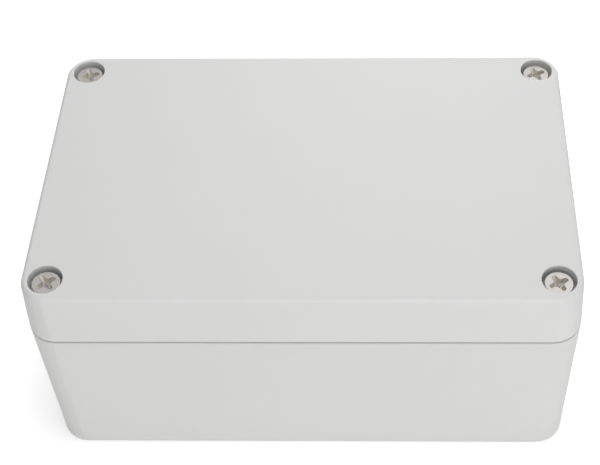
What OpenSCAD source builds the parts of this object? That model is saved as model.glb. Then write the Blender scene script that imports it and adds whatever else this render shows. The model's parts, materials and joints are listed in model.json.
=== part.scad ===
// Die cast aluminium enclosure: a base casting, a lid casting with a gasket in its
// groove, four captive lid screws and an earth terminal inside.
// Millimetres. +X runs left to right, +Y front to back, +Z up.
// The origin is the middle of the bottom face.

/* [Box] */
// Length at the parting line
box_l = 125; // [112:1:200]
// Width at the parting line
box_w = 80; // [72:1:150]
// Height of the closed box
box_h = 57; // [45:1:110]
// Height of the lid above the parting line
lid_h = 14.3; // [13.5:0.1:20]
// Radius of the upright corners at the parting line
corner_r = 7.2; // [5:0.1:7.4]
// How far the sides of the lid lean in at its top
lid_lean = 0.9; // [0.3:0.05:1.05]
// How far the sides of the base lean in at its bottom
base_lean = 0.3; // [0.1:0.05:1.2]
// Radius of the top edge of the lid
lid_edge_r = 1.1; // [0.4:0.05:1.2]
// Radius of the bottom edge of the base
base_edge_r = 0.9; // [0.4:0.05:1.5]
// Height of the groove that runs round the box between the castings
joint_groove_h = 0.4; // [0.1:0.05:0.6]
// Depth of that groove
joint_groove_d = 0.9; // [0.7:0.05:1.1]
// Radius of the edge of the base below the groove
rim_edge_r = 0.5; // [0.2:0.05:0.6]
// Small break on the bottom edge of the lid and at the mouths of its recesses
edge_break = 0.2; // [0.05:0.05:0.3]

/* [Walls] */
// Side wall of the base at the parting line
wall = 3; // [2.6:0.1:4.5]
// Floor of the base
floor_t = 3; // [2:0.1:5]
// Top plate of the lid
lid_t = 3; // [2:0.1:4.5]
// Inside corner radius of the cavity at the parting line
cavity_r = 4; // [3:0.1:6]
// How far the inside walls lean in over their depth
inside_lean = 0.5; // [0.1:0.05:0.8]
// Fillet between the inside walls and the floor or the top plate
inside_fillet = 1.2; // [0.5:0.1:1.5]

/* [Mounting wells] */
// From the end of the box to a mounting hole
mount_inset_x = 6; // [5.5:0.1:9]
// From the side of the box to a mounting hole
mount_inset_y = 14; // [13.6:0.1:18]
// Mounting hole through the bottom
mount_hole_d = 4.6; // [3.5:0.1:5.5]
// Well above the mounting hole, for the head of the fixing screw
well_d = 7.6; // [6.5:0.1:8.5]
// Metal left under the well
well_floor_t = 5; // [3:0.1:9]
// Metal between the well and the cavity
well_wall = 2.7; // [2.4:0.1:4]
// Pocket in the lid over each well, so that the corners aren't too thick
pocket_d = 6; // [4:0.1:6.4]

/* [Seal] */
// Width of the tongue on the rim of the base
tongue_w = 1.2; // [0.8:0.1:1.4]
// Height of the tongue above the parting line
tongue_h = 1.2; // [0.6:0.1:2]
// Room on each side of the tongue in the groove of the lid
groove_play = 0.4; // [0.2:0.05:0.5]
// Height of the gasket
gasket_h = 2.4; // [1.5:0.1:4]
// Room on each side of the gasket
gasket_play = 0.1; // [0.05:0.05:0.15]
// Rib of the lid on the inner side of the groove
rib_w = 1.3; // [1:0.1:2]

/* [Lid screws] */
// From the end of the box to a lid screw
screw_inset_x = 6.4; // [6.3:0.1:8]
// From the side of the box to a lid screw
screw_inset_y = 6.6; // [6.4:0.1:6.9]
// Thread of the lid screws
thread_d = 4; // [3.5:0.1:4.5]
// Thread engaged in the base when the lid is shut
thread_in_base = 6.3; // [4:0.1:7]
// Waist between the head and the thread
waist_d = 3; // [2.2:0.1:3.2]
// Head of the lid screws
head_d = 6.6; // [6:0.1:7.2]
// Height of the head
head_h = 2.6; // [2.2:0.1:3]
// Rounding of the top edge of the head
head_edge_r = 0.3; // [0.2:0.05:1]
// How deep the top of the head lies below the lid
head_sink = 1.2; // [0.8:0.1:2.4]
// Recess in the lid round the head
recess_d = 7.8; // [7.5:0.1:8]
// Length of the cross recess, end to end
cross_l = 4.4; // [3.4:0.1:5]
// Width of the arms of the cross recess
cross_w = 1.05; // [0.6:0.05:1.3]
// Depth of the cross recess
cross_depth = 1.7; // [1:0.1:1.9]
// Turn of the cross in the front left screw, in degrees
turn_front_left = 38; // [0:1:89]
// Turn of the cross in the front right screw, in degrees
turn_front_right = 29; // [0:1:89]
// Turn of the cross in the back left screw, in degrees
turn_back_left = 18; // [0:1:89]
// Turn of the cross in the back right screw, in degrees
turn_back_right = 24; // [0:1:89]

/* [Retaining washers] */
// Outside of the nylon washer that keeps a lid screw captive
retainer_d = 6.4; // [5.8:0.1:6.8]
// Thickness of that washer
retainer_t = 0.8; // [0.5:0.1:1.2]

/* [Inside bosses] */
// From the cavity wall to a floor boss, along the length
boss_inset_x = 10; // [6:0.5:15]
// From the cavity wall to a floor boss, along the width
boss_inset_y = 12; // [6:0.5:15]
// Diameter of a floor boss at its top
boss_d = 8; // [6:0.5:10]
// Height of the floor bosses above the floor
boss_h = 5; // [3:0.5:8]
// Core of the M4 thread in the floor bosses
boss_bore_d = 3.3; // [2.5:0.1:4]
// Metal left under the threaded holes in the floor
boss_skin = 1.5; // [1:0.1:1.9]

/* [Earth terminal] */
// From the end of the box to the earth boss
earth_inset = 9.6; // [9.5:0.1:16]
// Diameter of the earth boss at its top
earth_boss_d = 8.6; // [7:0.1:8.8]
// Thread of the earth screw
earth_thread_d = 4; // [3:0.1:5]
// Length of the earth screw below its washers
earth_grip = 6; // [4:0.1:8]
// Head of the earth screw
earth_head_d = 7.6; // [6.5:0.1:8.4]
// Height of that head
earth_head_h = 2.8; // [2:0.1:3.5]
// Side of the square wire clamp
clamp_side = 8.2; // [7.4:0.1:9]
// Thickness of the wire clamp
clamp_t = 1; // [0.6:0.1:1.5]
// Outside of the spring washer
spring_d = 6.8; // [6.2:0.1:7.2]
// Thickness of the spring washer
spring_t = 1; // [0.6:0.1:1.4]

/* [Fits] */
// Radial room round a thread in its hole
thread_play = 0.05; // [0.02:0.01:0.1]
// Radial room round a washer or a waist that slides
slide_play = 0.1; // [0.05:0.01:0.1]
// Radial room round the thread of a lid screw where it passes through the lid
passage_play = 0.25; // [0.15:0.05:0.35]
// Least room between pieces that pass close by
rest_gap = 0.1; // [0.05:0.05:0.2]

/* [Hidden] */
$fn = 64;

// How far a cut runs past the face that it opens
over = 1;
// Steps in a rounded edge
arc_steps = 6;

// Corners: side along X, side along Y
front_left = [-1, -1];
front_right = [1, -1];
back_left = [-1, 1];
back_right = [1, 1];
QUARTERS = [front_left, front_right, back_left, back_right];

base_h = box_h - lid_h;

// The cavity is a wide field, and a narrower one that runs between the wells to the ends
field_x = box_l / 2 - mount_inset_x - well_d / 2 - well_wall;
field_y = box_w / 2 - wall;
ends_x = box_l / 2 - wall;
ends_y = box_w / 2 - mount_inset_y - well_d / 2 - well_wall;
// Rounding of the metal where the two fields meet
inner_corner_r = 2.2;

mount_x = box_l / 2 - mount_inset_x;
mount_y = box_w / 2 - mount_inset_y;
screw_x = box_l / 2 - screw_inset_x;
screw_y = box_w / 2 - screw_inset_y;

// Lid screws. These heights are above the parting line
seat_z = lid_h - head_sink - head_h;
shoulder_z = rest_gap;
undo_travel = thread_in_base + rest_gap;
counterbore_h = shoulder_z + retainer_t + undo_travel + rest_gap;
counterbore_d = retainer_d + 2 * slide_play;
passage_d = thread_d + 2 * passage_play;
tap_spare = 2;
point_chamfer = 0.6;
mouth_chamfer = 0.3;

// Gasket and its groove, above the parting line
gasket_z = tongue_h + rest_gap;
groove_h = gasket_z + gasket_h;

boss_x = field_x - boss_inset_x;
boss_y = field_y - boss_inset_y;
boss_top = floor_t + boss_h;
boss_flare = 0.3;

earth_x = earth_inset - box_l / 2;
earth_tap_spare = 0.8;
earth_skin = 1.2;
earth_top = earth_skin + earth_tap_spare + earth_grip;
clamp_corner_r = 0.8;
spring_slit = 0.5;
// The washers of the earth screw keep to its shank
earth_hole_d = earth_thread_d + 2 * slide_play;

function arc(centre, r, from, to) = [
    for (i = [0:arc_steps])
        let (a = from + (to - from) * i / arc_steps)
        centre + r * [cos(a), sin(a)]
];

// Profile of the outer wall of the lid: a broken edge at height 0, then a lean in to a
// rounded edge
function lid_profile() = concat(
    [[0, 0], [corner_r - edge_break, 0], [corner_r, edge_break]],
    arc([corner_r - lid_lean - lid_edge_r, lid_h - lid_edge_r],
        lid_edge_r, atan2(lid_lean, lid_h), 90),
    [[0, lid_h]]
);

// Profile of the outer wall of the base, from the parting line down: the groove round the
// joint, a rounded edge, then a lean in to another one
function base_profile() = concat(
    [[0, 0], [corner_r - joint_groove_d, 0], [corner_r - joint_groove_d, joint_groove_h]],
    arc([corner_r - rim_edge_r, joint_groove_h + rim_edge_r], rim_edge_r, -90, 0),
    arc([corner_r - base_lean - base_edge_r, base_h - base_edge_r],
        base_edge_r, atan2(base_lean, base_h), 90),
    [[0, base_h]]
);

// Profile of a core that draws out past height 0 and has a filleted blind end
function core_profile(r, depth) = concat(
    [[0, over], [r, over], [r, 0]],
    arc([r - inside_lean - inside_fillet, inside_fillet - depth], inside_fillet, 0, -90),
    [[0, -depth]]
);

// Profile of a screw with a domed head, from its point at height 0
function screw_profile(thread_r, thread_l, waist_r, waist_l, head_r, head_h, edge_r) = concat(
    [[0, 0], [thread_r - point_chamfer, 0], [thread_r, point_chamfer], [thread_r, thread_l]],
    [[waist_r, thread_l], [waist_r, thread_l + waist_l], [head_r, thread_l + waist_l]],
    arc([head_r - edge_r, thread_l + waist_l + head_h - edge_r], edge_r, 0, 90),
    [[0, thread_l + waist_l + head_h]]
);

// Block with rounded corners whose walls follow a profile. The profile is measured
// outwards from the axis of a corner and up. half_x and half_y are the half sizes of the
// block where the profile is as wide as r.
module profiled_block(half_x, half_y, r, profile) {
    cx = half_x - r;
    cy = half_y - r;
    low = min([for (p = profile) p[1]]);
    high = max([for (p = profile) p[1]]);
    translate([-cx, -cy, low]) cube([2 * cx, 2 * cy, high - low]);
    for (m = [0, 1]) mirror([0, m, 0])
        translate([-cx, cy, 0]) rotate([90, 0, 90])
            linear_extrude(height = 2 * cx) polygon(profile);
    for (m = [0, 1]) mirror([m, 0, 0])
        translate([cx, cy, 0]) rotate([90, 0, 0])
            linear_extrude(height = 2 * cy) polygon(profile);
    for (mx = [0, 1], my = [0, 1]) mirror([mx, 0, 0]) mirror([0, my, 0])
        translate([cx, cy, 0]) rotate_extrude(angle = 90) polygon(profile);
}

// Core of the cavity, shrunk all round, that reaches down from height 0
module cavity_core(shrink, depth) {
    r = cavity_r - shrink;
    profiled_block(field_x - shrink, field_y - shrink, r, core_profile(r, depth));
    profiled_block(ends_x - shrink, ends_y - shrink, r, core_profile(r, depth));
    for (mx = [0, 1], my = [0, 1]) mirror([mx, 0, 0]) mirror([0, my, 0])
        translate([field_x - shrink, ends_y - shrink, 0])
            inner_corner_core(inner_corner_r + shrink, depth);
}

// Takes the sharp edge off the metal where the two fields of the cavity meet
module inner_corner_core(r, depth) {
    low = inside_fillet - depth;
    reach = 1.5 * (r + inside_lean);
    translate([r, r, 0]) rotate([0, 0, 180]) rotate_extrude(angle = 90) polygon([
        [r + inside_lean, low], [reach, low], [reach, over], [r, over], [r, 0]
    ]);
}

// Outline of the cavity at the parting line, grown all round
module seal_outline(grow) {
    rounded_field(field_x + grow, field_y + grow, cavity_r + grow);
    rounded_field(ends_x + grow, ends_y + grow, cavity_r + grow);
    r = inner_corner_r - grow;
    for (mx = [0, 1], my = [0, 1]) mirror([mx, 0]) mirror([0, my])
        translate([field_x + grow, ends_y + grow]) difference() {
            square(r);
            translate([r, r]) circle(r);
        }
}

module rounded_field(half_x, half_y, r) {
    square([2 * half_x, 2 * (half_y - r)], center = true);
    square([2 * (half_x - r), 2 * half_y], center = true);
    for (q = QUARTERS)
        translate([q[0] * (half_x - r), q[1] * (half_y - r)]) circle(r);
}

// Band along the seal, between two distances outside the cavity
module seal_band(inner, outer, h) {
    linear_extrude(height = h) difference() {
        seal_outline(outer);
        seal_outline(inner);
    }
}

module at_corners(x, y, z) {
    for (q = QUARTERS) translate([q[0] * x, q[1] * y, z]) children();
}

module boss(d, top) {
    low = floor_t - over;
    translate([0, 0, low]) cylinder(d1 = d + 2 * boss_flare, d2 = d, h = top - low);
}

// Blind threaded hole that opens at height 0
module tapped_hole(d, depth) {
    translate([0, 0, -depth]) cylinder(d = d, h = depth + over);
    translate([0, 0, -mouth_chamfer])
        cylinder(d1 = d, d2 = d + 2 * (mouth_chamfer + over), h = mouth_chamfer + over);
}

module cross_recess(turn) {
    rotate([0, 0, turn]) intersection() {
        union() {
            for (a = [0, 90]) rotate([0, 0, a])
                translate([-cross_l / 2, -cross_w / 2, -cross_depth])
                    cube([cross_l, cross_w, cross_depth + over]);
        }
        translate([0, 0, -cross_depth]) cylinder(
            d1 = 0.45 * cross_l,
            d2 = 0.45 * cross_l + 0.55 * cross_l * (cross_depth + over) / cross_depth,
            h = cross_depth + over
        );
    }
}

// Castings

module base() {
    color("gainsboro") difference() {
        union() {
            difference() {
                translate([0, 0, base_h]) mirror([0, 0, 1])
                    profiled_block(box_l / 2, box_w / 2, corner_r, base_profile());
                translate([0, 0, base_h]) cavity_core(0, base_h - floor_t);
            }
            translate([0, 0, base_h - tongue_w / 2])
                seal_band(0, tongue_w, tongue_w / 2 + tongue_h);
            at_corners(boss_x, boss_y, 0) boss(boss_d, boss_top);
            translate([earth_x, 0, 0]) boss(earth_boss_d, earth_top);
        }
        at_corners(mount_x, mount_y, well_floor_t) cylinder(d = well_d, h = base_h);
        at_corners(mount_x, mount_y, -over)
            cylinder(d = mount_hole_d, h = well_floor_t + 2 * over);
        at_corners(screw_x, screw_y, base_h)
            tapped_hole(thread_d + 2 * thread_play, thread_in_base + tap_spare);
        at_corners(boss_x, boss_y, boss_top)
            tapped_hole(boss_bore_d, boss_top - boss_skin);
        translate([earth_x, 0, earth_top])
            tapped_hole(earth_thread_d + 2 * thread_play, earth_grip + earth_tap_spare);
    }
}

module lid() {
    color("whitesmoke") translate([0, 0, base_h]) difference() {
        profiled_block(box_l / 2, box_w / 2, corner_r, lid_profile());
        translate([0, 0, -over])
            seal_band(-groove_play, tongue_w + groove_play, groove_h + over);
        mirror([0, 0, 1]) cavity_core(groove_play + rib_w, lid_h - lid_t);
        at_corners(mount_x, mount_y, -over)
            cylinder(d = pocket_d, h = lid_h - lid_t + over);
        at_corners(screw_x, screw_y, 0) screw_passage();
    }
}

// Recess for the head, passage for the thread and counterbore for the retaining washer
module screw_passage() {
    translate([0, 0, seat_z]) cylinder(d = recess_d, h = lid_h);
    translate([0, 0, lid_h - edge_break]) cylinder(
        d1 = recess_d, d2 = recess_d + 2 * (edge_break + over), h = edge_break + over
    );
    translate([0, 0, -over]) cylinder(d = passage_d, h = lid_h);
    translate([0, 0, -over]) cylinder(d = counterbore_d, h = counterbore_h + over);
}

// Sealing

module gasket() {
    color("dimgray") translate([0, 0, base_h + gasket_z]) seal_band(
        gasket_play - groove_play, tongue_w + groove_play - gasket_play, gasket_h
    );
}

// Captive lid screws

module lid_screw(corner, turn) {
    color("silver") translate([corner[0] * screw_x, corner[1] * screw_y, base_h])
        difference() {
            translate([0, 0, -thread_in_base]) rotate_extrude() polygon(screw_profile(
                thread_d / 2, thread_in_base + shoulder_z,
                waist_d / 2, seat_z - shoulder_z,
                head_d / 2, head_h, head_edge_r
            ));
            translate([0, 0, seat_z + head_h]) cross_recess(turn);
        }
}

module retainer(corner) {
    color("ivory")
        translate([corner[0] * screw_x, corner[1] * screw_y, base_h + shoulder_z])
            difference() {
                cylinder(d = retainer_d, h = retainer_t);
                translate([0, 0, -over])
                    cylinder(d = waist_d + 2 * slide_play, h = retainer_t + 2 * over);
            }
}

// Earth terminal

module earth_clamp() {
    color("silver") translate([earth_x, 0, earth_top]) difference() {
        linear_extrude(height = clamp_t)
            rounded_field(clamp_side / 2, clamp_side / 2, clamp_corner_r);
        translate([0, 0, -over]) cylinder(d = earth_hole_d, h = clamp_t + 2 * over);
    }
}

module earth_spring_washer() {
    color("darkgray") translate([earth_x, 0, earth_top + clamp_t]) difference() {
        cylinder(d = spring_d, h = spring_t);
        translate([0, 0, -over]) cylinder(d = earth_hole_d, h = spring_t + 2 * over);
        translate([0, -spring_slit / 2, -over])
            cube([spring_d, spring_slit, spring_t + 2 * over]);
    }
}

module earth_screw() {
    color("silver") translate([earth_x, 0, earth_top]) difference() {
        translate([0, 0, -earth_grip]) rotate_extrude() polygon(screw_profile(
            earth_thread_d / 2, earth_grip + clamp_t + spring_t,
            earth_thread_d / 2, 0,
            earth_head_d / 2, earth_head_h, head_edge_r
        ));
        translate([0, 0, clamp_t + spring_t + earth_head_h]) cross_recess(0);
    }
}

base();
lid();
gasket();
lid_screw(front_left, turn_front_left);  // lid_screw_front_left
lid_screw(front_right, turn_front_right);  // lid_screw_front_right
lid_screw(back_left, turn_back_left);  // lid_screw_back_left
lid_screw(back_right, turn_back_right);  // lid_screw_back_right
retainer(front_left);  // retainer_front_left
retainer(front_right);  // retainer_front_right
retainer(back_left);  // retainer_back_left
retainer(back_right);  // retainer_back_right
earth_clamp();
earth_spring_washer();
earth_screw();
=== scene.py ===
import json
import math

import bmesh
import bpy
from bpy.props import FloatProperty, FloatVectorProperty, PointerProperty
from bpy.types import Operator, Panel, PropertyGroup
from mathutils import Matrix, Vector


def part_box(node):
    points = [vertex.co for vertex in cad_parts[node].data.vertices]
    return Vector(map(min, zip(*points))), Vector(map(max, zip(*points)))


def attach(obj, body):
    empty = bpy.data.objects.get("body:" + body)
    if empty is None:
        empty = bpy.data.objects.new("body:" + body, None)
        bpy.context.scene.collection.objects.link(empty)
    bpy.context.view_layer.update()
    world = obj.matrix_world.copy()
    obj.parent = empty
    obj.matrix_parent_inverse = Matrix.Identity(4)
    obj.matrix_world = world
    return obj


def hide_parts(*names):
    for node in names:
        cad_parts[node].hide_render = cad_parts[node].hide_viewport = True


bl_info = {
    "name": "Die Cast Enclosure",
    "version": (1, 0, 0),
    "blender": (4, 5, 0),
    "location": "View3D > Sidebar > Enclosure",
    "description": "Powder coat, captive lid screws, seal and earth terminal of a die cast enclosure",
    "category": "Object",
}

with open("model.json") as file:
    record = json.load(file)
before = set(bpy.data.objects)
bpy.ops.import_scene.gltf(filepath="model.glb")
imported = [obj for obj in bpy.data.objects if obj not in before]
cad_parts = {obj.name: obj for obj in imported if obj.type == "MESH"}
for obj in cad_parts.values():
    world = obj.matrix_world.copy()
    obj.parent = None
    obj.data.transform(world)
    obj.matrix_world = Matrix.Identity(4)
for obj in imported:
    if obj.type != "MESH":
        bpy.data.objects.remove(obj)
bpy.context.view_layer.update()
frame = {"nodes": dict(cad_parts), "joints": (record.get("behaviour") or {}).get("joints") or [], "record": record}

# How far the cross recess of each lid screw is turned, in degrees
RECESS_TURNS = {"front_left": 38, "front_right": 29, "back_left": 18, "back_right": 24}

# Vertices closer than this are one, and faces flatter than this angle are one
MERGE = 1e-6
FLAT = 0.002
# No other edge of the lid's top lies this near to the axis of a screw
MOUTH_REACH = 0.0042
# How far bare metal reaches from the axis of a faced boss, and of a tapped bore
FACED = 0.0042
TAPPED = 0.0026
# Faces this near in height are level, and those below this height are on the underside
LEVEL = 0.0001
UNDERSIDE = 0.0005
# The room is nowhere darker than this, as bare metal mirrors it
DARKEST = 0.2
# Edges sharper than this stay creased, or get an easing
SHARP = math.radians(28)
FULL_TURN = 2 * math.pi


# Shader graphs

class Value:
    """A value in a shader graph. Arithmetic on it adds Math nodes."""

    def __init__(self, graph, socket):
        self.graph = graph
        self.socket = socket

    def math(self, operation, *terms):
        inputs = dict(enumerate(terms))
        return self.graph.node("ShaderNodeMath", {"operation": operation}, inputs)

    def __add__(self, other):
        return self.math("ADD", self, other)

    def __sub__(self, other):
        return self.math("SUBTRACT", self, other)

    def __rsub__(self, other):
        return self.math("SUBTRACT", other, self)

    def __mul__(self, other):
        return self.math("MULTIPLY", self, other)

    __radd__ = __add__
    __rmul__ = __mul__

    def sine(self):
        return self.math("SINE", self)

    def at_least(self, level):
        return self.math("MAXIMUM", self, level)

    def clamped(self):
        return self.graph.node("ShaderNodeClamp", {}, {"Value": self})


class Graph:
    """The node tree of a material or of the world, emptied."""

    def __init__(self, owner):
        owner.use_nodes = True
        self.tree = owner.node_tree
        self.tree.nodes.clear()

    def node(self, kind, settings=None, inputs=None, output=0):
        """Adds a node, with its settings and then its inputs, and gives back one output."""
        node = self.tree.nodes.new(kind)
        for name, setting in (settings or {}).items():
            setattr(node, name, setting)
        for name, term in (inputs or {}).items():
            if isinstance(term, Value):
                self.tree.links.new(term.socket, node.inputs[name])
            else:
                node.inputs[name].default_value = term
        return Value(self, node.outputs[output]) if len(node.outputs) else None

    def place(self, output="Object"):
        return self.node("ShaderNodeTexCoord", output=output)

    def along(self, axis, place):
        return self.node("ShaderNodeSeparateXYZ", {}, {"Vector": place}, output=axis)

    def noise(self, feature, detail=2, roughness=0.5):
        """Noise from 0 to 1 whose features are about that many metres across."""
        inputs = {
            "Vector": self.place(),
            "Scale": 1 / feature,
            "Detail": detail,
            "Roughness": roughness,
        }
        return self.node("ShaderNodeTexNoise", {}, inputs)

    def mix(self, share, first, second):
        inputs = {0: share, 6: first, 7: second}
        return self.node("ShaderNodeMix", {"data_type": "RGBA"}, inputs, output=2)

    def bump(self, height, depth):
        return self.node("ShaderNodeBump", {}, {"Height": height, "Distance": depth})

    def ray(self, kind):
        return self.node("ShaderNodeLightPath", output=kind)

    def principled(self, **inputs):
        named = {name.replace("_", " "): term for name, term in inputs.items()}
        shader = self.node("ShaderNodeBsdfPrincipled", {}, named)
        self.node("ShaderNodeOutputMaterial", {}, {"Surface": shader})


def rgba(colour, level=1.0):
    return tuple(level * channel for channel in colour) + (1,)


def powder_coat(name, colour, paint):
    """Satin powder coat: slight orange peel, a fine grain and a few specks."""
    material = bpy.data.materials.new(name)
    graph = Graph(material)
    peel = graph.noise(paint.peel_size, detail=1)
    grain = graph.noise(paint.grain_size, detail=3, roughness=0.6)
    cloud = graph.noise(paint.cloud_size, detail=2)
    cells = {"Vector": graph.place(), "Scale": 1 / paint.speck_spacing}
    reach = graph.node("ShaderNodeTexVoronoi", {}, cells, output="Distance")
    speck = (1 - reach * (paint.speck_spacing / paint.speck_size)).clamped()
    shade = (cloud * 0.7 + grain * 0.3).clamped()
    dark, light = rgba(colour, 1 - paint.unevenness), rgba(colour, 1 + paint.unevenness)
    plain = graph.mix(shade, dark, light)
    graph.principled(
        Base_Color=graph.mix(speck * paint.speck_strength, plain, rgba(colour, 0.3)),
        Roughness=(grain - 0.5) * 0.12 + paint.roughness,
        Normal=graph.bump(peel * 0.6 + grain * 0.4 - speck * 0.5, paint.peel_depth),
    )
    return material


def turned_metal(name, colour, roughness, ring_pitch, ring_depth):
    """Bare metal with fine marks that run round it, one above the other."""
    material = bpy.data.materials.new(name)
    graph = Graph(material)
    grain = graph.noise(ring_pitch * 0.8, detail=3, roughness=0.6)
    height = graph.along("Z", graph.place())
    rings = (height * (FULL_TURN / ring_pitch) + grain * 2).sine() * 0.5 + 0.5
    graph.principled(
        Base_Color=graph.mix(grain, rgba(colour, 0.93), rgba(colour)),
        Metallic=1.0,
        Roughness=(grain - 0.5) * 0.16 + roughness,
        Normal=graph.bump(rings * 0.5 + grain * 0.5, ring_depth),
    )
    return material


def plated_metal(name, colour, roughness, grain_size, grain_depth):
    """Plated steel: faint scratches, and a grain where the plating is dull."""
    material = bpy.data.materials.new(name)
    graph = Graph(material)
    grain = graph.noise(grain_size, detail=4, roughness=0.65)
    patches = graph.noise(grain_size * 8, detail=2)
    graph.principled(
        Base_Color=graph.mix(patches, rgba(colour, 0.9), rgba(colour)),
        Metallic=1.0,
        Roughness=(patches - 0.5) * 0.25 + roughness,
        Normal=graph.bump(grain, grain_depth),
    )
    return material


def moulded(name, colour, roughness, grain_size, grain_depth):
    """Moulded rubber or nylon with a fine grain."""
    material = bpy.data.materials.new(name)
    graph = Graph(material)
    grain = graph.noise(grain_size, detail=3, roughness=0.6)
    graph.principled(
        Base_Color=graph.mix(grain, rgba(colour, 0.9), rgba(colour, 1.05)),
        Roughness=(grain - 0.5) * 0.2 + roughness,
        Normal=graph.bump(grain, grain_depth),
    )
    return material


# Meshes

def mesh_of_node(node, cuts=()):
    """The closed mesh of a CAD node: loose triangles merged, and flat areas made one face each.

    A flat area with a hole in it is cut through the hole, at the cuts along the length, as no
    face can hold a hole."""
    bm = bmesh.new()
    bm.from_mesh(frame["nodes"][node].data)
    bmesh.ops.remove_doubles(bm, verts=bm.verts, dist=MERGE)
    for cut in cuts:
        geometry = bm.verts[:] + bm.edges[:] + bm.faces[:]
        bmesh.ops.bisect_plane(
            bm, geom=geometry, dist=MERGE, plane_co=(cut, 0, 0), plane_no=(1, 0, 0))
    for face in bm.faces:
        face.material_index = sum(face.calc_center_median().x > cut for cut in cuts)
    bmesh.ops.dissolve_limit(
        bm, angle_limit=FLAT, verts=bm.verts, edges=bm.edges, delimit={"MATERIAL"})
    for face in bm.faces:
        face.material_index = 0
    return bm


def ease_edges(bm, width, segments=2):
    """Rounds every sharp edge a little, as paint, tumbling or a mould does."""
    edges = [e for e in bm.edges if e.is_manifold and e.calc_face_angle() > SHARP]
    bmesh.ops.bevel(
        bm, geom=edges, offset=width, segments=segments, profile=0.5,
        affect="EDGES", clamp_overlap=False, material=-1,
    )


def add_piece(name, bm, materials, body, nodes):
    """Makes a mesh the piece that stands for some CAD nodes and moves with a body."""
    mesh = bpy.data.meshes.new(name)
    bm.to_mesh(mesh)
    bm.free()
    mesh.shade_smooth()
    mesh.set_sharp_from_angle(angle=SHARP)
    for material in materials:
        mesh.materials.append(material)
    piece = bpy.data.objects.new(name, mesh)
    bpy.context.collection.objects.link(piece)
    shading = piece.modifiers.new("Flat faces stay flat", "WEIGHTED_NORMAL")
    shading.keep_sharp = True
    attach(piece, body)
    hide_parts(*nodes)
    return piece


def pattern(mount):
    """The centres of a bolt pattern, and the radius of its holes."""
    found = next(m for m in frame["record"]["mounts"] if m["name"] == mount)
    half_x = found["dims"]["spacing_x_mm"] / 2000
    half_y = found["dims"]["spacing_y_mm"] / 2000
    centre = Vector(found["pos_m"])
    holes = [centre + Vector((x, y, 0)) for x in (-half_x, half_x) for y in (-half_y, half_y)]
    return holes, found["dims"]["hole_r_mm"] / 1000


def joint_place(name):
    return Vector(next(j for j in frame["joints"] if j["name"] == name)["pos_m"])


def ring_vertices(geometry):
    return [item for item in geometry if isinstance(item, bmesh.types.BMVert)]


def grow_ring(bm, ring, radius, height):
    """Extrudes a ring of edges round the Z axis to another radius and height."""
    made = bmesh.ops.extrude_edge_only(bm, edges=ring)["geom"]
    vertices = set(ring_vertices(made))
    for vertex in vertices:
        across = vertex.co.xy.normalized() * radius
        vertex.co = (across.x, across.y, height)
    edges = [item for item in made if isinstance(item, bmesh.types.BMEdge)]
    return [e for e in edges if vertices.issuperset(e.verts)]


def cut_above(bm, height, side):
    """Cuts a mesh level, drops what is above (side 1) or below (side -1), and gives the rim."""
    geometry = bm.verts[:] + bm.edges[:] + bm.faces[:]
    cut = bmesh.ops.bisect_plane(
        bm, geom=geometry, dist=MERGE / 10, plane_co=(0, 0, height),
        plane_no=(0, 0, side), clear_outer=True,
    )["geom_cut"]
    return [item for item in cut if isinstance(item, bmesh.types.BMEdge)]


def threaded_shank(bm, screws, diameter, low, high, steps=32):
    """A helical thread between two heights, with a chamfered point. Gives back its top ring."""
    pitch = screws.thread_pitch
    crest = diameter / 2
    root = crest - 0.613 * pitch
    turns = math.ceil((high - low) / pitch) + 2
    start = low - pitch
    profile = [(root, 0), (root, 0.2), (crest, 0.54), (crest, 0.66), (root, 1)]
    line = [bm.verts.new((radius, 0, start + share * pitch)) for radius, share in profile]
    edges = [bm.edges.new(pair) for pair in zip(line, line[1:])]
    bmesh.ops.spin(
        bm, geom=line + edges, cent=(0, 0, 0), axis=(0, 0, 1), dvec=(0, 0, pitch / steps),
        angle=FULL_TURN * turns, steps=steps * turns, use_merge=False, use_duplicate=False,
    )
    bmesh.ops.remove_doubles(bm, verts=bm.verts, dist=10 * MERGE)
    point = cut_above(bm, low, -1)
    top = cut_above(bm, high, 1)
    for vertex in bm.verts:
        reach = root - screws.point_chamfer / 2 + vertex.co.z - low
        if vertex.co.xy.length > reach:
            vertex.co.xy = vertex.co.xy.normalized() * reach
    bmesh.ops.contextual_create(bm, geom=point)
    return top


def head_profile(radius, low, high, edge, steps=5):
    """Radius and height of each ring of a flat screw head, from its underside up."""
    rings = [(radius, low)]
    for step in range(steps + 1):
        angle = step / steps * math.pi / 2
        across, up = edge * (1 - math.cos(angle)), edge * (1 - math.sin(angle))
        rings.append((radius - across, high - up))
    return rings


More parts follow.
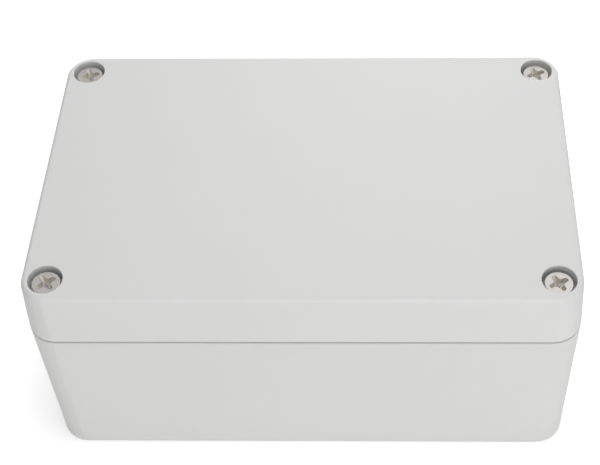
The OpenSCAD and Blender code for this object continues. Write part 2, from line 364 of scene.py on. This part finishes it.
def cross_cutter(screws, length, top, turn):
    """A tapered cross with round arms and rounded webs, the shape of the driver's tip."""
    bm = bmesh.new()
    over = screws.recess_depth
    height = screws.recess_depth + over
    bmesh.ops.create_cube(bm, size=1)
    bmesh.ops.scale(bm, verts=bm.verts, vec=(screws.recess_width, screws.recess_width, height))
    sides = [face for face in bm.faces if abs(face.normal.z) < 0.5]
    for side in sides:
        outwards = side.normal * (length - screws.recess_width) / 2
        made = bmesh.ops.extrude_face_region(bm, geom=[side])["geom"]
        bmesh.ops.translate(bm, verts=ring_vertices(made), vec=outwards)
    bmesh.ops.delete(bm, geom=sides, context="FACES_ONLY")
    uprights = [e for e in bm.edges if abs(e.verts[0].co.z - e.verts[1].co.z) > height / 2]
    ends = [e for e in uprights if e.verts[0].co.xy.length > screws.recess_width]
    webs = [e for e in uprights if e not in ends]
    for edges, offset, segments in ((ends, 0.45, 4), (webs, 0.6, 5)):
        bmesh.ops.bevel(
            bm, geom=edges, offset=offset * screws.recess_width, segments=segments,
            profile=0.5, affect="EDGES", material=-1,
        )
    bmesh.ops.translate(bm, verts=bm.verts, vec=(0, 0, height / 2 - screws.recess_depth))
    for vertex in bm.verts:
        share = (vertex.co.z + screws.recess_depth) / screws.recess_depth
        vertex.co.xy *= screws.recess_taper + (1 - screws.recess_taper) * share
    bmesh.ops.recalc_face_normals(bm, faces=bm.faces)
    for face in bm.faces:
        face.material_index = 1
    bmesh.ops.transform(
        bm, verts=bm.verts,
        matrix=Matrix.Translation((0, 0, top)) @ Matrix.Rotation(turn, 4, "Z"),
    )
    return bm


def carve(bm, cutter):
    """Takes one closed mesh out of another, and gives back what is left.

    Each face keeps the number of its own material."""
    parts = []
    for name, source in (("carved", bm), ("cutter", cutter)):
        mesh = bpy.data.meshes.new(name)
        source.to_mesh(mesh)
        source.free()
        for _ in range(2):
            mesh.materials.append(None)
        part = bpy.data.objects.new(name, mesh)
        bpy.context.collection.objects.link(part)
        parts.append(part)
    cut = parts[0].modifiers.new("Recess", "BOOLEAN")
    cut.operation = "DIFFERENCE"
    cut.solver = "EXACT"
    cut.object = parts[1]
    carved = bmesh.new()
    carved.from_object(parts[0], bpy.context.evaluated_depsgraph_get())
    for part in parts:
        bpy.data.objects.remove(part)
    return carved


def cross_screw(screws, shank, head, turn, place):
    """A screw with a helical thread and a cross recess, its axis at a place in the box.

    shank is (diameter, point, thread end, waist diameter), head is (diameter, underside,
    top, edge radius, recess length), with heights above the place."""
    thread_d, point, thread_end, waist_d = shank
    head_d, underside, top, edge, recess_l = head
    bm = bmesh.new()
    ring = threaded_shank(bm, screws, thread_d, point, thread_end)
    ring = grow_ring(bm, ring, waist_d / 2, thread_end)
    ring = grow_ring(bm, ring, waist_d / 2, underside)
    for radius, height in head_profile(head_d / 2, underside, top, edge):
        ring = grow_ring(bm, ring, radius, height)
    bmesh.ops.contextual_create(bm, geom=ring)
    bmesh.ops.recalc_face_normals(bm, faces=bm.faces)
    bm = carve(bm, cross_cutter(screws, recess_l, top, turn))
    bmesh.ops.translate(bm, verts=bm.verts, vec=place)
    return bm


# Sizes and colours

def length(name, description, default):
    return FloatProperty(name=name, description=description, default=default, min=0, unit="LENGTH")


def colour(name, description, default):
    return FloatVectorProperty(
        name=name, description=description, default=default, min=0, max=1, subtype="COLOR",
    )


def factor(name, description, default):
    return FloatProperty(
        name=name, description=description, default=default, min=0, max=1, subtype="FACTOR",
    )


def power(name, description, default):
    return FloatProperty(name=name, description=description, default=default, min=0, unit="POWER")


def angle(name, description, default):
    return FloatProperty(
        name=name, description=description, default=math.radians(default), subtype="ANGLE",
    )


class EnclosurePaint(PropertyGroup):
    """Powder coat and bare metal of the castings"""

    # The base's coat is the lid's coat made a little darker and yellower: painted shade, as the lower body gets
    # less light than the lid
    shaded_base_colour: colour("Base", "Powder coat of the base", (0.665, 0.665, 0.655))
    lid_colour: colour("Lid", "Powder coat of the lid", (0.68, 0.68, 0.675))
    bare_colour: colour("Bare metal", "Machined faces and bores", (0.72, 0.72, 0.73))
    roughness: factor("Roughness", "Gloss of the powder coat, low is shiny", 0.52)
    peel_size: length("Orange peel", "Width of a ripple in the powder coat", 0.0011)
    peel_depth: length("Peel depth", "Depth of the ripples", 0.00002)
    grain_size: length("Grain", "Width of the grain in the powder coat", 0.00025)
    cloud_size: length("Clouds", "Width of the lighter and darker areas", 0.018)
    unevenness: factor("Unevenness", "Difference between lighter and darker areas", 0.012)
    speck_spacing: length("Speck spacing", "From one dark speck to the next", 0.012)
    speck_size: length("Speck", "Radius of a dark speck", 0.00028)
    speck_strength: factor("Speck strength", "How dark a speck is", 0.3)
    mouth_fill: length("Mouth fill", "Paint on the edge of each screw recess", 0.00016)
    easing: length("Easing", "Rounding of sharp edges under the paint", 0.00006)


class EnclosureScrews(PropertyGroup):
    """Lid screws and earth screw"""

    head_colour: colour("Heads", "Plating of the lid screws", (0.84, 0.82, 0.79))
    recess_colour: colour("Recess", "Dull metal inside the cross recess", (0.80, 0.76, 0.71))
    thread_pitch: length("Pitch", "Pitch of the M4 thread", 0.0007)
    thread_d: length("Thread", "Outside of the thread", 0.00396)
    thread_l: length("Thread length", "Thread below the parting line", 0.0063)
    shoulder: length("Shoulder", "End of the thread above the parting line", 0.0001)
    waist_d: length("Waist", "Waist between thread and head", 0.003)
    head_h: length("Head height", "Height of the head", 0.0026)
    head_edge: length("Head edge", "Rounding of the head's edge", 0.0003)
    point_chamfer: length("Point", "Chamfer at the point of the thread", 0.0006)
    recess_l: length("Cross", "Length of the cross recess", 0.0047)
    recess_width: length("Cross width", "Width of the arms of the cross", 0.00125)
    recess_depth: length("Cross depth", "Depth of the cross recess", 0.0012)
    recess_taper: factor("Cross taper", "Size of the cross at its bottom", 0.6)


class EnclosureTrim(PropertyGroup):
    """Seal, retaining washers and earth terminal"""

    rubber_colour: colour("Gasket", "Rubber of the seal", (0.05, 0.05, 0.052))
    nylon_colour: colour("Nylon", "Retaining washers", (0.78, 0.77, 0.71))
    zinc_colour: colour("Zinc", "Plating of the earth terminal", (0.70, 0.71, 0.73))
    gasket_edge: length("Gasket edge", "Rounding of the seal's section", 0.0005)
    washer_edge: length("Washer edge", "Rounding of washers and clamp", 0.0001)
    earth_grip: length("Earth thread", "Earth screw below its clamp", 0.006)
    earth_stack: length("Earth stack", "Clamp and spring washer together", 0.002)
    earth_head_d: length("Earth head", "Head of the earth screw", 0.0076)
    earth_head_h: length("Earth head height", "Height of that head", 0.0028)


class EnclosureStudio(PropertyGroup):
    """Camera, lamps and floor"""

    camera_place: FloatVectorProperty(
        name="Camera", description="Place of the camera", unit="LENGTH",
        subtype="TRANSLATION", default=(0.0179, -0.2078, 0.2757),
    )
    yaw: angle("Yaw", "Turn of the camera to the right", -2.217)
    pitch: angle("Pitch", "Tilt of the camera below level", 50.328)
    roll: angle("Roll", "Turn of the camera about its own axis", -1.717)
    lens: FloatProperty(name="Lens", description="Focal length", default=77.21, unit="CAMERA")
    shift: FloatVectorProperty(
        name="Shift", description="Sideways and upward shift of the lens", size=2,
        default=(-0.0857, 0.0379),
    )
    floor_size: length("Floor", "Half the side of the floor", 3.0)
    floor_colour: colour("Floor", "Colour of the floor", (0.86, 0.86, 0.86))
    floor_glow: factor("Floor glow", "Light added where the floor is seen", 0.45)
    fill: factor("Fill", "Light from all round", 0.43)
    room: factor("Room", "Brightness of the room as bare metal mirrors it", 0.54)
    room_right: factor("Room, right", "How much brighter the room is at the right", 0.9)
    room_above: factor("Room, above", "How much brighter the room is above", 0.5)
    over: power("Overhead lamp", "Power of the small lamp close above the box", 0.62)
    over_back: power("High back lamp", "Power of the lamp above and behind the box", 0.42)
    low_back: power("Low back lamp", "Power of the low lamp behind the box", 3.68)
    low_front: power("Low front lamp", "Power of the low lamp in front of the box", 1.38)
    low_right: power("Low right lamp", "Power of the low lamp to the right of the box", 0.30)


# Operators

class ENCLOSURE_OT_castings(Operator):
    """Paints the base and the lid, and leaves machined faces and bores bare"""

    bl_idname = "enclosure.castings"
    bl_label = "Castings"

    def execute(self, context):
        paint = context.scene.enclosure_paint
        bare = turned_metal("bare_casting", paint.bare_colour, 0.4, 0.00035, 0.00002)
        bores = self.threaded_bores()
        wells, _ = pattern("mounting_holes")
        cuts = sorted({round(place.x, 5) for place in [place for place, _ in bores] + wells})
        # The base gets the darker copy of the coat, which is painted shade
        for part, colour_of_part in (("base", paint.shaded_base_colour), ("lid", paint.lid_colour)):
            bm = mesh_of_node(part, cuts)
            if part == "lid":
                self.fill_mouths(bm, paint.mouth_fill)
            ease_edges(bm, paint.easing)
            if part == "base":
                for face in bm.faces:
                    face.material_index = int(self.is_machined(face, bores))
            coat = powder_coat(f"{part}_powder_coat", colour_of_part, paint)
            add_piece(f"{part}_casting", bm, (coat, bare), part, (part,))
        return {"FINISHED"}

    @staticmethod
    def fill_mouths(bm, fill):
        """Narrows the mouth of each screw recess by the paint that gathers on its small break."""
        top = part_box("lid")[1].z
        for corner in RECESS_TURNS:
            axis = joint_place(f"screw_turn_{corner}").xy
            for vertex in bm.verts:
                across = vertex.co.xy - axis
                if top - vertex.co.z < MERGE and across.length < MOUTH_REACH:
                    vertex.co.xy -= across.normalized() * fill

    @staticmethod
    def threaded_bores():
        """The centre of each threaded bore at its mouth, with the radius of what is bare."""
        bosses, _ = pattern("plate_bosses")
        earth = joint_place("earth_screw_turn")
        lid_taps = [joint_place(f"screw_turn_{corner}") for corner in RECESS_TURNS]
        return [(p, FACED) for p in bosses + [earth]] + [(p, TAPPED) for p in lid_taps]

    @staticmethod
    def is_machined(face, bores):
        centre = face.calc_center_median()
        for mouth, reach in bores:
            across = (centre - mouth).xy.length
            top = abs(centre.z - mouth.z) < LEVEL and face.normal.z > 0.9
            inside = across < TAPPED and centre.z < mouth.z + LEVEL
            if across < reach and (top and reach == FACED or inside and centre.z > UNDERSIDE):
                return True
        return False


class ENCLOSURE_OT_lid_screws(Operator):
    """Makes the captive lid screws and their nylon retaining washers"""

    bl_idname = "enclosure.lid_screws"
    bl_label = "Lid screws"

    def execute(self, context):
        screws = context.scene.enclosure_screws
        trim = context.scene.enclosure_trim
        plating = plated_metal("bright_plating", screws.head_colour, 0.24, 0.0002, 0.000004)
        dull = plated_metal("recess_metal", screws.recess_colour, 0.5, 0.0003, 0.00001)
        nylon = moulded("nylon", trim.nylon_colour, 0.45, 0.0003, 0.000005)
        for corner, turn in RECESS_TURNS.items():
            node = f"lid_screw_{corner}"
            low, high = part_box(node)
            axis = joint_place(f"screw_turn_{corner}")
            top = high.z - axis.z
            shank = (screws.thread_d, -screws.thread_l, screws.shoulder, screws.waist_d)
            head = (high.x - low.x, top - screws.head_h, top, screws.head_edge, screws.recess_l)
            bm = cross_screw(screws, shank, head, math.radians(turn), axis)
            add_piece(f"screw_{corner}", bm, (plating, dull), node, (node,))
            washer = mesh_of_node(f"retainer_{corner}")
            ease_edges(washer, trim.washer_edge)
            body = f"retainer_{corner}"
            add_piece(f"washer_{corner}", washer, (nylon,), body, (body,))
        return {"FINISHED"}


class ENCLOSURE_OT_seal(Operator):
    """Makes the rubber seal in the groove of the lid"""

    bl_idname = "enclosure.seal"
    bl_label = "Seal"

    def execute(self, context):
        trim = context.scene.enclosure_trim
        rubber = moulded("seal_rubber", trim.rubber_colour, 0.7, 0.0004, 0.00001)
        bm = mesh_of_node("gasket")
        ease_edges(bm, trim.gasket_edge, segments=4)
        add_piece("seal", bm, (rubber,), "lid", ("gasket",))
        return {"FINISHED"}


class ENCLOSURE_OT_earth_terminal(Operator):
    """Makes the earth screw, its spring washer and its wire clamp"""

    bl_idname = "enclosure.earth_terminal"
    bl_label = "Earth terminal"

    def execute(self, context):
        screws = context.scene.enclosure_screws
        trim = context.scene.enclosure_trim
        zinc = plated_metal("zinc_plating", trim.zinc_colour, 0.32, 0.0003, 0.000005)
        dull = plated_metal("earth_recess_metal", screws.recess_colour, 0.5, 0.0003, 0.00001)
        for name, node in (("wire_clamp", "earth_clamp"), ("spring_washer", "earth_spring_washer")):
            bm = mesh_of_node(node)
            ease_edges(bm, trim.washer_edge)
            add_piece(name, bm, (zinc,), "earth_clamp", (node,))
        place = joint_place("earth_screw_turn")
        top = trim.earth_stack + trim.earth_head_h
        shank = (screws.thread_d, -trim.earth_grip, trim.earth_stack - 0.0002, 0.0034)
        head = (trim.earth_head_d, trim.earth_stack, top, screws.head_edge, screws.recess_l)
        bm = cross_screw(screws, shank, head, 0, place)
        add_piece("terminal_screw", bm, (zinc, dull), "earth_screw", ("earth_screw",))
        return {"FINISHED"}


class ENCLOSURE_OT_stage(Operator):
    """Sets up the floor, the soft light and the camera"""

    bl_idname = "enclosure.stage"
    bl_label = "Stage"

    # Name, place and side of each square lamp, and whether bare metal mirrors it
    LAMPS = (
        ("over", (0.03, -0.05, 0.42), 0.20, False),
        ("over_back", (0.05, 0.30, 0.50), 0.30, False),
        ("low_back", (0.05, 0.80, 0.20), 0.30, True),
        ("low_front", (0.08, -0.60, 0.06), 0.16, True),
        ("low_right", (0.50, -0.35, 0.07), 0.16, True),
    )
    AIM = Vector((0, 0, 0.03))

    def execute(self, context):
        studio = context.scene.enclosure_studio
        self.add_floor(studio)
        for name, place, size, mirrored in self.LAMPS:
            self.add_lamp(name, Vector(place), size, getattr(studio, name), mirrored)
        self.add_world(context.scene, studio)
        self.add_camera(context.scene, studio)
        context.scene.view_settings.view_transform = "Standard"
        return {"FINISHED"}

    @staticmethod
    def add_floor(studio):
        """A pale floor that reads as white, and still shows the box's shadow."""
        bm = bmesh.new()
        bmesh.ops.create_grid(bm, x_segments=1, y_segments=1, size=studio.floor_size)
        mesh = bpy.data.meshes.new("floor")
        bm.to_mesh(mesh)
        bm.free()
        floor = bpy.data.objects.new("floor", mesh)
        bpy.context.collection.objects.link(floor)
        material = bpy.data.materials.new("floor")
        graph = Graph(material)
        diffuse = graph.node("ShaderNodeBsdfDiffuse", {}, {"Color": rgba(studio.floor_colour)})
        seen = (graph.ray("Is Camera Ray") + graph.ray("Is Glossy Ray")).clamped()
        glow = graph.node("ShaderNodeEmission", {}, {"Strength": seen * studio.floor_glow})
        both = graph.node("ShaderNodeAddShader", {}, {0: diffuse, 1: glow})
        graph.node("ShaderNodeOutputMaterial", {}, {"Surface": both})
        mesh.materials.append(material)

    def add_lamp(self, name, place, size, power, mirrored):
        lamp = bpy.data.lights.new(name, "AREA")
        lamp.shape = "SQUARE"
        lamp.size = size
        lamp.energy = power
        holder = bpy.data.objects.new(name, lamp)
        holder.location = place
        holder.visible_glossy = mirrored
        holder.rotation_euler = (self.AIM - place).to_track_quat("-Z", "Y").to_euler()
        bpy.context.collection.objects.link(holder)

    @staticmethod
    def add_world(scene, studio):
        world = bpy.data.worlds.new("studio")
        scene.world = world
        graph = Graph(world)
        way = graph.place("Generated")
        right, above = graph.along("X", way), graph.along("Z", way)
        room = (right * studio.room_right + above * studio.room_above + studio.room).at_least(DARKEST)
        seen, mirrored = graph.ray("Is Camera Ray"), graph.ray("Is Glossy Ray")
        lit = (1 - (seen + mirrored).clamped()) * studio.fill
        shader = graph.node("ShaderNodeBackground", {}, {"Strength": seen + mirrored * room + lit})
        graph.node("ShaderNodeOutputWorld", {}, {"Surface": shader})

    @staticmethod
    def add_camera(scene, studio):
        data = bpy.data.cameras.new("camera")
        data.lens = studio.lens
        data.shift_x, data.shift_y = studio.shift
        data.clip_start = 0.01
        camera = bpy.data.objects.new("camera", data)
        turn = (
            Matrix.Rotation(-studio.yaw, 4, "Z")
            @ Matrix.Rotation(math.pi / 2 - studio.pitch, 4, "X")
            @ Matrix.Rotation(studio.roll, 4, "Z")
        )
        camera.matrix_world = Matrix.Translation(studio.camera_place) @ turn
        bpy.context.collection.objects.link(camera)
        scene.camera = camera


class ENCLOSURE_PT_panel(Panel):
    """Buttons that dress the enclosure, piece by piece"""

    bl_label = "Enclosure"
    bl_idname = "ENCLOSURE_PT_panel"
    bl_space_type = "VIEW_3D"
    bl_region_type = "UI"
    bl_category = "Enclosure"

    def draw(self, context):
        for operator in OPERATORS:
            self.layout.operator(operator.bl_idname)


GROUPS = {
    "enclosure_paint": EnclosurePaint,
    "enclosure_screws": EnclosureScrews,
    "enclosure_trim": EnclosureTrim,
    "enclosure_studio": EnclosureStudio,
}
OPERATORS = (
    ENCLOSURE_OT_castings,
    ENCLOSURE_OT_lid_screws,
    ENCLOSURE_OT_seal,
    ENCLOSURE_OT_earth_terminal,
    ENCLOSURE_OT_stage,
)


def register():
    for kind in (*GROUPS.values(), *OPERATORS, ENCLOSURE_PT_panel):
        bpy.utils.register_class(kind)
    for name, group in GROUPS.items():
        setattr(bpy.types.Scene, name, PointerProperty(type=group))


def unregister():
    for name in GROUPS:
        delattr(bpy.types.Scene, name)
    for kind in reversed((*GROUPS.values(), *OPERATORS, ENCLOSURE_PT_panel)):
        bpy.utils.unregister_class(kind)


def main():
    register()
    bpy.ops.enclosure.castings()
    bpy.ops.enclosure.lid_screws()
    bpy.ops.enclosure.seal()
    bpy.ops.enclosure.earth_terminal()
    bpy.ops.enclosure.stage()


if __name__ == "__main__":
    main()
